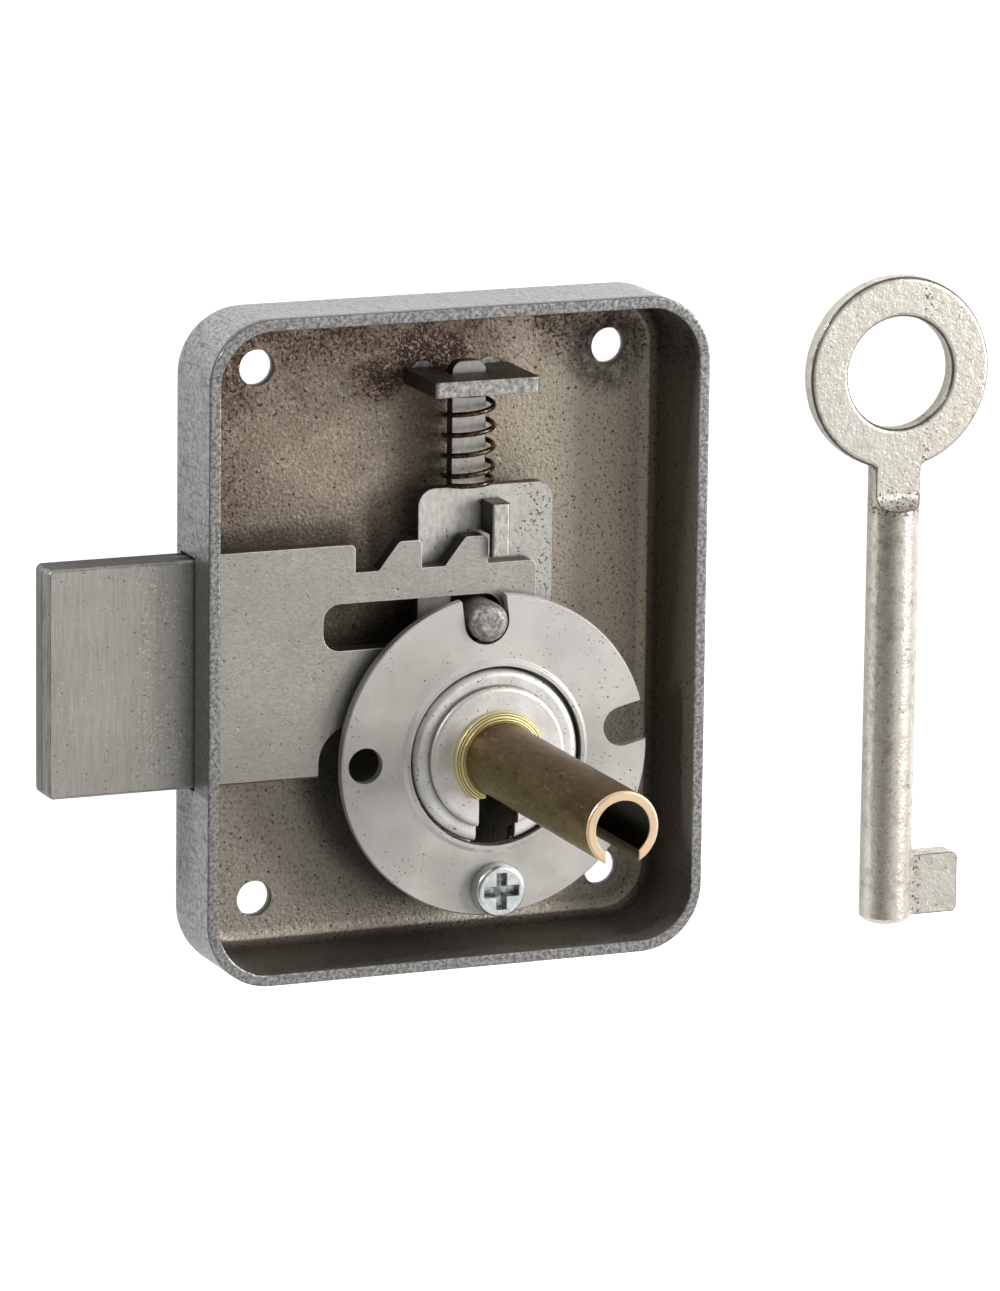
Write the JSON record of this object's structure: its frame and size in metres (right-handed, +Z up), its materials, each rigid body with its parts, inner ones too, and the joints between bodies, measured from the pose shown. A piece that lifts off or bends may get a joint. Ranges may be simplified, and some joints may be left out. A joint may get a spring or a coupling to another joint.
{
  "type": "furniture lock",
  "caption": "Open drawn-steel rim lock for furniture with a sliding toothed dead bolt, sprung tumbler, slotted key tube and a loose key with a round bow.",
  "frame": {"origin": "middle of the four fixing holes, on the plain outer face of the case", "axes": "+X away from the bolt head, towards the key; +Y along the tumbler towards its bracket; +Z up the key tube, out of the open side"},
  "size_m": [0.1164, 0.0775, 0.0475],
  "materials": {
    "case_paint": "hammered",
    "bolt_steel": "satin",
    "packing_steel": "satin",
    "tumbler_steel": "satin",
    "stump_steel": "satin",
    "spring_wire": "drawn",
    "bracket_steel": "sheared",
    "post_steel": "turned",
    "pillar_steel": "turned",
    "disc_plate": "plated",
    "screw_plate": "bright zinc",
    "rotor_plate": "plated",
    "tube_plate": "yellow passivated zinc",
    "key_cast": "nickel plated casting"
  },
  "bodies": {
    "case": {"case": "case_paint", "spring_bracket": "bracket_steel", "guide_post": "post_steel", "screw_pillar": "pillar_steel", "cover_disc": "disc_plate", "cover_screw": "screw_plate", "tumbler_spring": "spring_wire"},
    "bolt": {"bolt_front_plate": "bolt_steel", "bolt_packing_plate": "packing_steel"},
    "tumbler": {"tumbler": "tumbler_steel", "tumbler_stump": "stump_steel"},
    "rotor": {"rotor": "rotor_plate", "key_tube": "tube_plate"},
    "key": {"key": "key_cast"}
  },
  "joints": [
    {"name": "key_turn", "type": "hinge", "parent": "case", "child": "rotor", "pos_m": [0.0041, -0.0138, 0.0093], "axis": [0, 0, -1], "range_deg": [0, 720]},
    {"name": "bolt_slide", "type": "slide", "parent": "case", "child": "bolt", "axis": [1, 0, 0], "range_m": [0, 0.016]},
    {"name": "tumbler_lift", "type": "slide", "parent": "case", "child": "tumbler", "axis": [0, 1, 0], "range_m": [0, 0.0033], "stiffness_N_per_m": 600, "springref_m": -0.004, "deforming": ["tumbler_spring"]},
    {"name": "key_lift", "type": "slide", "parent": "case", "child": "key", "axis": [0, 0, 1], "range_m": [0, 0.06]}
  ],
  "couplings": [
    {"joint": "key_turn", "follows": "bolt_slide", "rad_per_m": 785.39}
  ]
}
